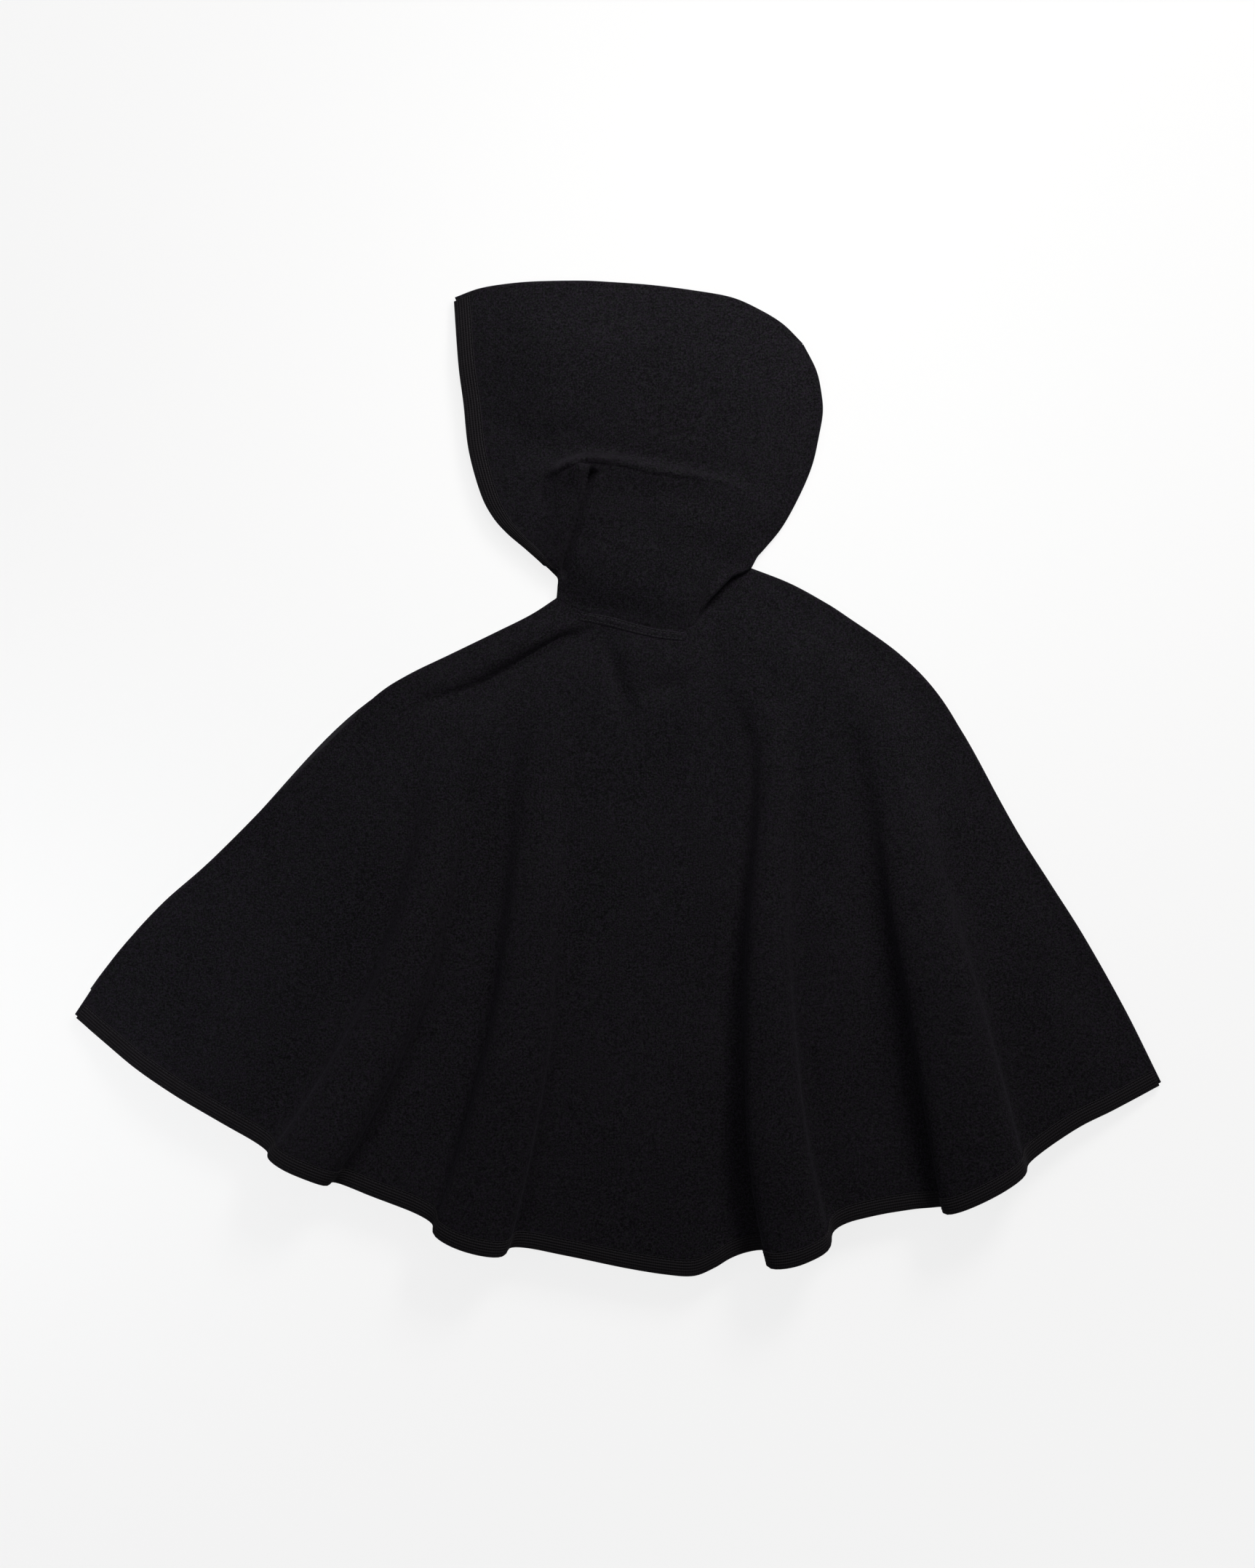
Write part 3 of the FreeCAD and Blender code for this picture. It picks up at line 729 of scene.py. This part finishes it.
def hood_plan(s, t, inset):
    """The hood's surface in plan between neck, crown, face opening and back seam, its seam edges moved in
    by the inset, its neck edge 6 off the back's own at the slit."""
    left = along(MOUTH, t)
    right = moved_in(along(HOOD_BACK, t), inset * soft_step(t * 12.0 + 0.2))
    near = along(BACK_TOP, s) + 6.0 * slit_opening(s)[:, None] * UP_LEFT
    far = moved_in(along(CROWN, s)[::-1], inset)[::-1]
    near = near + soft_step((s - 0.9) / 0.1)[:, None] * (right[0] - near[-1])
    near = near + (1.0 - s[:, None]) * (left[0] - near[0])
    far = far + soft_step((s - 0.9) / 0.1)[:, None] * (right[-1] - far[-1])
    return cloth_patch(near, far, left, right, s, t)


def hood_shape():
    """The upper half of the hood: a low dome, higher near the neck, the relief of the folded-over flap, and
    a neck edge that follows the back's seam and then hangs 8.5 above it. Its first row is the crown."""
    s = np.linspace(0.0, 1.0, HOOD_COLUMNS)
    t = np.linspace(0.0, 1.0, HOOD_ROWS)
    plan = hood_plan(s, t, 3.2)
    crown = along(CROWN, np.linspace(0.0, 1.0, 30))
    rim = np.vstack([along(HOOD_BACK, np.linspace(0.0, 1.0, 24)), crown[-2::-1]])
    edge_gap, _, _ = beside(rim, plan)
    mouth_gap, _, _ = beside(MOUTH[::16], plan)
    neck_gap, _, _ = beside(BACK_TOP[::12], plan)
    inner_gap = edge_gap - 3.0
    dome = 12.5 * quarter(inner_gap / 62.0) * (0.40 + 0.60 * soft_step(mouth_gap / 75.0))
    swell = 5.5 * bell(neck_gap, 60.0) * quarter(inner_gap / 50.0) * quarter(mouth_gap / 40.0)
    relief, shift = hood_relief(plan)
    calm = quarter(inner_gap / 14.0)
    height = TOP + dome + swell + relief * calm * quarter(mouth_gap / 9.0 + 0.15)
    neck_x = plan[0, :, 0]
    seam = np.interp(neck_x, back_grid[0, :, 0], back_grid[0, :, 2])
    hang = off_the_back(neck_x) * (1.0 - 0.5 * soft_step((neck_x - 84.0) / 17.0))
    wanted = seam + 0.1 + 8.5 * hang
    height = height + (wanted - height[0])[None, :] * bell(neck_gap, 17.0)
    moved = plan + shift * calm[..., None]
    grid = np.concatenate([moved, height[..., None]], axis=-1)
    return grid[::-1], plan[::-1]


HOOD_DENTS = [((-52, 260), (30, 14), 0.35, -5.0), ((-84, 272), (22, 12), 0.2, -1.4),
              ((20, 217), (52, 11), -0.05, -1.5), ((62, 196), (40, 14), -0.5, 1.3),
              ((95, 205), (16, 34), -0.5, -1.2), ((60, 300), (60, 40), 0.0, 1.4),
              ((10, 190), (26, 18), 0.3, -1.6)]


def hood_relief(plan):
    """Heights and sideways shifts of the flap. Across a line at a signed gap g each form is a bell of g: the
    ridge with the flap below it, the crease as a lip and a valley whose lip leans over, a small roll and
    a dimple. The dents and a slow wave are added."""
    ridge = bent_line((-54, 230), (-42, 237.5), (-25, 243.5), (-10, 243.5), (10, 239.5), (30, 234.5),
                      (65, 229.5), (95, 221.5), (124, 205))
    away, side, place = beside(ridge[::10], plan)
    signed = away * side
    strong = soft_step(place / 0.12) * (1.0 - 0.40 * soft_step((place - 0.3) / 0.25))
    strong = strong * (1.0 - soft_step((place - 0.70) / 0.30))
    total = 5.4 * strong * np.where(signed > 0.0, bell(signed, 4.6), 0.35 * bell(signed, 9.0))
    total = total - 2.2 * strong * bell(signed - 11.0, 8.0)
    gentle = bent_line((-66, 232), (-8, 243.5), (62, 230), (128, 204))
    away, side, place = beside(gentle[::6], plan)
    below = np.where(side > 0.0, bell(away, 4.6), bell(away, 44.0))
    total = total + 4.2 * below * soft_step(place / 0.22) * (1.0 - 0.85 * soft_step((place - 0.4) / 0.6))
    crease = bent_line((-19.5, 239), (-22.5, 230), (-26, 217), (-31, 200.5), (-36.5, 183), (-41.5, 167),
                       (-44.5, 151))
    away, side, place = beside(crease[::10], plan)
    signed = away * side
    reach = soft_step(place / 0.04) * (1.0 - soft_step((place - 0.9) / 0.1))
    deep = reach * (0.75 + 0.6 * bell(place - 0.12, 0.16))
    lip = np.where(signed > 0.0, 0.0, bell(signed + 5.0, 9.0))
    valley = np.where(signed > 0.0, bell(signed - 1.2, 3.6), bell(signed - 1.2, 2.2))
    total = total + deep * (3.8 * lip - 5.8 * valley)
    pull = 2.6 * deep * bell(signed + 2.6, 3.4)
    shift = -unit(np.array([1.0, 0.25])) * pull[..., None]
    small = bent_line((-33, 241), (-40, 226), (-44, 208), (-49, 190), (-54, 176))
    away, _, place = beside(small[::10], plan)
    total = total + 2.9 * bell(away, 8.0) * (1.0 - 0.75 * soft_step((place - 0.35) / 0.65))
    dimple = bent_line((-52, 234), (-57, 224), (-57, 214), (-53, 204))
    away, _, place = beside(dimple[::10], plan)
    total = total - 1.4 * bell(away, 5.5) * np.sin(np.pi * (place * 0.9 + 0.08))
    return total + dents(plan, HOOD_DENTS) + 0.5 * slow_wave(plan, 29.0, 41.0, 33.0, 57.0), shift


hood_grid, hood_flat = hood_shape()
hood_place = numbered(hood_grid)
hood_rims = [hood_place[-1, :], hood_place[::-1, -1], hood_place[0, ::-1]]
free = off_the_back(hood_grid[-1, :, 0])
hood_low = np.maximum(hood_grid[-1, :, 2] - 1.8 - 3.2 * free, LOW)
hood = cloth("hood_upper_cloth", hood_grid, hood_flat, hood_rims, WOOL, "bend",
             [hood_low, LOW, LOW], [0.5 + free, TURN + 0.4, TURN + 0.4])
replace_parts(hood, "hood_panel_left")
mouth = hood_grid[:-24]
mouth_trim = bound_edge("hood_mouth", "_upper", mouth[:, 0], mouth[:, 3], facing(mouth)[:, 2], "bend",
                        "hood_binding_left", 1.88)


# ---------------------------------------------------------------- the fronts

OVERLAP = 20.0             # each front passes the centre line by this much
CLIMB = 5.4                # how far the right front climbs to lie on the left one


def taped_lift(gap):
    """How far a flat piece lifts where its tape lies under it: 1.1 up to the tape's width in, then to 0."""
    return 1.1 * (1.0 - soft_step((gap - TAPE_WIDTH) / 9.0))


def front_shape(which):
    """A flat front between neck, side, hem and a straight centre edge, as a grid of points and its plan.
    The right one climbs by a soft step where it comes to lie on the left one."""
    is_left = which == "left"
    sign, outer_end, centre_end = (1.0, 0, -1) if is_left else (-1.0, -1, 0)
    s = np.linspace(0.0, 1.0, 90)
    t = np.linspace(0.0, 1.0, 80)
    inset = TURN + HALF + SPREAD_GAP
    if is_left:
        outer = moved_in(along(LEFT_EDGE, t), inset)
    else:
        outer = moved_in(along(RIGHT_EDGE, t)[::-1], inset)[::-1]
    neck = along(BACK_TOP, np.linspace(0.0, 1.0, 300)) - np.array([0.0, 3.0])
    hem = moved_in(along(HEM, np.linspace(0.0, 1.0, 400)), 13.0)
    near = along(neck[sign * neck[:, 0] < OVERLAP], s)
    far = along(hem[sign * hem[:, 0] < OVERLAP], s)
    tip = far[outer_end] + unit(outer[-5] - outer[-1]) * 2.0
    outer = outer + t[:, None] * (tip - outer[-1])
    nearness = (1.0 - s if is_left else s)[:, None]
    near = near + nearness * (outer[0] - near[outer_end])
    far = far + nearness ** 8 * (outer[-1] - far[outer_end])
    centre = near[centre_end] + t[:, None] * (far[centre_end] - near[centre_end])
    left, right = (outer, centre) if is_left else (centre, outer)
    plan = cloth_patch(near, far, left, right, s, t)
    climb = 0.0 if is_left else CLIMB * (1.0 - soft_step((plan[..., 0] - OVERLAP - 1.5) / 20.0))
    hem_gap, _, _ = beside(plan[-1], plan)
    free_gap, _, _ = beside(plan[:, centre_end], plan)
    height = LOW + climb + taped_lift(np.minimum(hem_gap, free_gap))
    return np.concatenate([plan, height[..., None]], axis=-1), plan


def front(which):
    """A front with its centre-edge tape, hem tape and their stitching."""
    grid, plan = front_shape(which)
    end = "_" + which
    made = cloth("front_cloth" + end, grid, plan, [], WOOL, "cape", [], [])
    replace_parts(made, "front_panel" + end)
    up = facing(grid)
    edge, inner = (-1, -2) if which == "left" else (0, 1)
    centre_trim = bound_edge("front_edge", end, grid[:, edge], grid[:, inner], up[:, inner], "cape",
                             "front_binding" + end, 1.95)
    under_trim = bound_edge("front_hem", end, grid[-1], grid[-2], up[-2], "cape",
                            "hem_binding" + end, 1.95, under=True)
    return made, centre_trim + under_trim


front_left, left_trim = front("left")
front_right, right_trim = front("right")


# ---------------------------------------------------------------- the lower hood half

def lower_hood_shape():
    """The hood half that lies on the table: the same outline, smaller by the turned edge, and flat."""
    s = np.linspace(0.0, 1.0, 96)
    t = np.linspace(0.0, 1.0, 96)
    plan = hood_plan(s, t, 5.4)
    plan = plan + np.array([1.6, 0.0]) * (1.0 - s)[None, :, None]
    plan = plan + np.array([0.0, -1.5]) * (t ** 3)[:, None, None]
    mouth_gap, _, _ = beside(plan[:, 0], plan)
    height = LOW + taped_lift(mouth_gap)
    return np.concatenate([plan, height[..., None]], axis=-1)[::-1], plan[::-1]


lower_grid, lower_flat = lower_hood_shape()
hood_lower = cloth("hood_lower_cloth", lower_grid, lower_flat, [], WOOL, "bend", [], [])
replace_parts(hood_lower, "hood_panel_right")
lower_mouth = lower_grid[:-8]
lower_trim = bound_edge("hood_mouth", "_lower", lower_mouth[:, 0], lower_mouth[:, 2],
                        facing(lower_grid)[:-8, 1], "bend", "hood_binding_right", 1.95, under=True)


# ---------------------------------------------------------------- the tape inside the neck

def inner_neck_tape():
    """A strip under the back's neck edge, held against the cloth by two rows of stitching."""
    line, up = neck_rows(np.linspace(0.6, 10.4, 9), np.ones(9), 80)
    return line - up * (HALF + 0.45)


inside_tape = narrow_strip("neck_twill_tape", inner_neck_tape(), TWILL)
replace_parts(inside_tape, "neck_tape")


# ---------------------------------------------------------------- finishes on the parts kept as designed

KEPT = {"side_seam_left": THREAD, "side_seam_right": THREAD, "hood_seam": THREAD,
        "snap_socket": STUD, "snap_stud": STUD}
for node_name, finish in KEPT.items():
    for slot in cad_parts[node_name].material_slots:
        slot.material = finish


# ---------------------------------------------------------------- the hem trim, welt, neck tape and seam rows put in one list, which is not used

hem_trim + [welt, inside_tape] + seam_rows


# ---------------------------------------------------------------- the stage, in metres

def area_light(name, place, aim, size, power, colour, beam=180.0):
    """A soft square light at a place, turned to its aim, its beam held to an angle in degrees."""
    lamp = bpy.data.lights.new(name, "AREA")
    lamp.size = size
    lamp.spread = np.radians(beam)
    lamp.energy = power
    lamp.color = colour
    made = bpy.data.objects.new(name, lamp)
    bpy.context.collection.objects.link(made)
    way = np.array(aim, float) - np.array(place, float)
    made.location = place
    made.rotation_mode = "QUATERNION"
    made.rotation_quaternion = Vector(way.tolist()).to_track_quat("-Z", "Y")


def pale_floor():
    """A plain pale table top that glows a little, so that the shadow on it stays faint."""
    f = Finish("pale_table_top")
    glow = {"Emission Color": (1.0, 1.0, 1.0, 1.0), "Emission Strength": 0.82}
    matt = {"Base Color": (0.10, 0.10, 0.10, 1.0), "Roughness": 0.9, "Specular IOR Level": 0.0}
    shader = f.node("BsdfPrincipled", {}, {**matt, **glow})
    f.node("OutputMaterial", {}, {"Surface": shader})
    reach = 4.0
    below = -0.0005
    corners = [(-reach, -reach, below), (reach, -reach, below), (reach, reach, below), (-reach, reach, below)]
    mesh = bpy.data.meshes.new("table_top")
    mesh.from_pydata(corners, [], [(0, 1, 2, 3)])
    mesh.materials.append(f.material)
    made = bpy.data.objects.new("table_top", mesh)
    bpy.context.collection.objects.link(made)


def surroundings():
    """A dim, even, slightly cool light from all round."""
    world = bpy.data.worlds.new("studio")
    bpy.context.scene.world = world
    world.use_nodes = True
    light = world.node_tree.nodes["Background"]
    light.inputs[0].default_value = (0.98, 0.99, 1.0, 1.0)
    light.inputs[1].default_value = 0.19


SENSOR = 36.0              # in millimetres
DISTANCE = 3.2             # from the camera down to the plane it is set for
MID_HEIGHT = 0.018         # that plane's height, half way up the folds
VIEW_HEIGHT = 1.20736      # what the view takes in from top to bottom on that plane


def overhead_camera():
    """A camera that looks straight down; its lens is sensor x distance / view height."""
    lens = bpy.data.cameras.new("camera")
    lens.sensor_width = SENSOR
    lens.lens = SENSOR * DISTANCE / VIEW_HEIGHT
    lens.clip_end = 50.0
    camera = bpy.data.objects.new("camera", lens)
    bpy.context.collection.objects.link(camera)
    camera.location = (0.00784, -0.00504, DISTANCE + MID_HEIGHT)
    bpy.context.scene.camera = camera


WARM = (1.0, 0.985, 0.96)
pale_floor()
area_light("key", (0.98, 1.60, 1.27), (0.0, 0.0, 0.0), 0.7, 60.0, WARM)
area_light("upper", (0.15, 0.95, 1.10), (0.07, 0.31, 0.0), 0.5, 0.84, WARM, 42.0)
area_light("left", (-0.90, -0.15, 0.80), (-0.55, -0.20, 0.0), 0.4, 0.62, (0.97, 0.98, 1.0), 44.0)
area_light("fill", (-1.8, -0.6, 2.4), (0.0, 0.0, 0.0), 2.0, 23.0, (0.95, 0.97, 1.0))
surroundings()
overhead_camera()
bpy.context.scene.view_settings.view_transform = "Standard"
